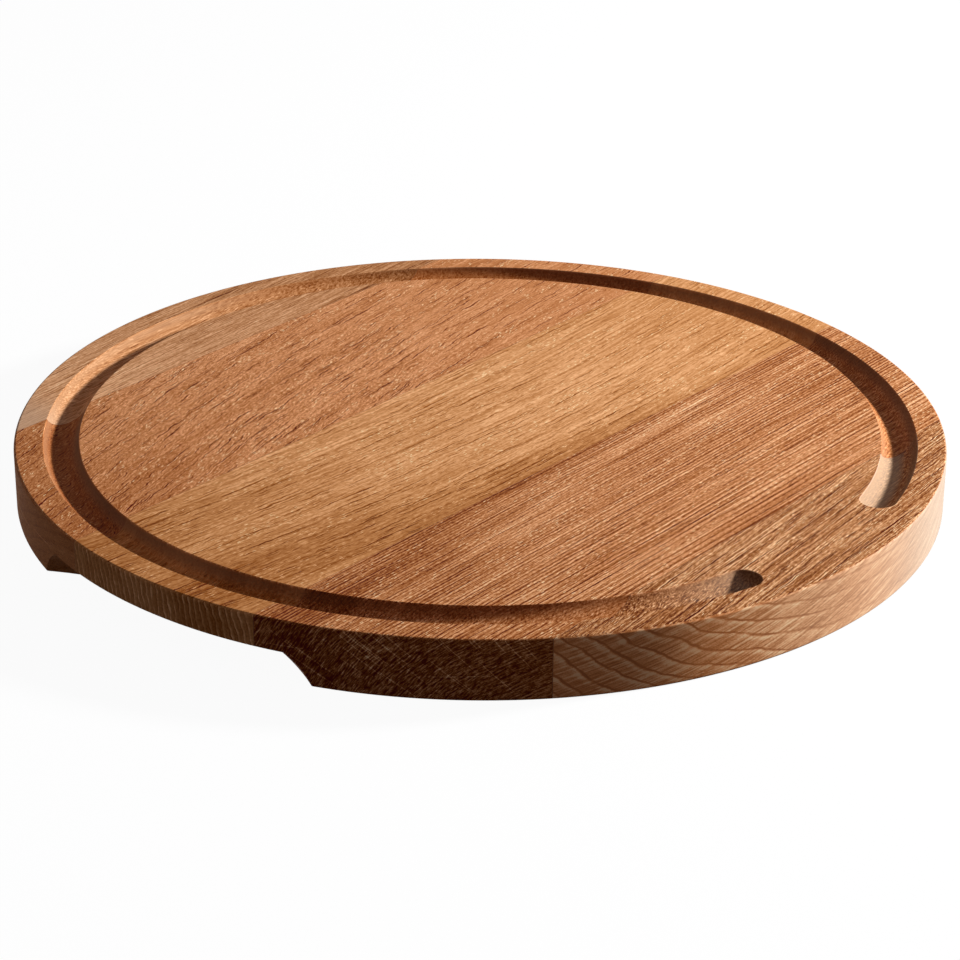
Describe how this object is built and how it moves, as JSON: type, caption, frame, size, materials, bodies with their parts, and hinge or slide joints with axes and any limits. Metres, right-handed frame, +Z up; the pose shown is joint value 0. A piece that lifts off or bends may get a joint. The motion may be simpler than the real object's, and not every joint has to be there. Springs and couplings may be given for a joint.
{
  "type": "pizza board",
  "caption": "Round solid oak pizza board of edge-glued staves, with a juice groove that stops short at one side and finger grips under the edge.",
  "frame": {"origin": "centre of the board's flat underside", "axes": "+Z up out of the serving face, X along the grain and through both finger grips, -Y towards the stretch with no groove"},
  "size_m": [0.35, 0.35, 0.023],
  "materials": {
    "oak_pale": "oiled",
    "oak_russet": "oiled",
    "oak_honey": "oiled",
    "oak_brown": "oiled",
    "oak_banded": "oiled",
    "glue": "cured wood glue"
  },
  "bodies": {
    "root": {"oak_stave_1": "oak_pale", "oak_stave_2": "oak_russet", "oak_stave_3": "oak_honey", "oak_stave_4": "oak_brown", "oak_stave_5": "oak_banded", "glue_line_1": "glue", "glue_line_2": "glue", "glue_line_3": "glue", "glue_line_4": "glue"}
  },
  "joints": []
}
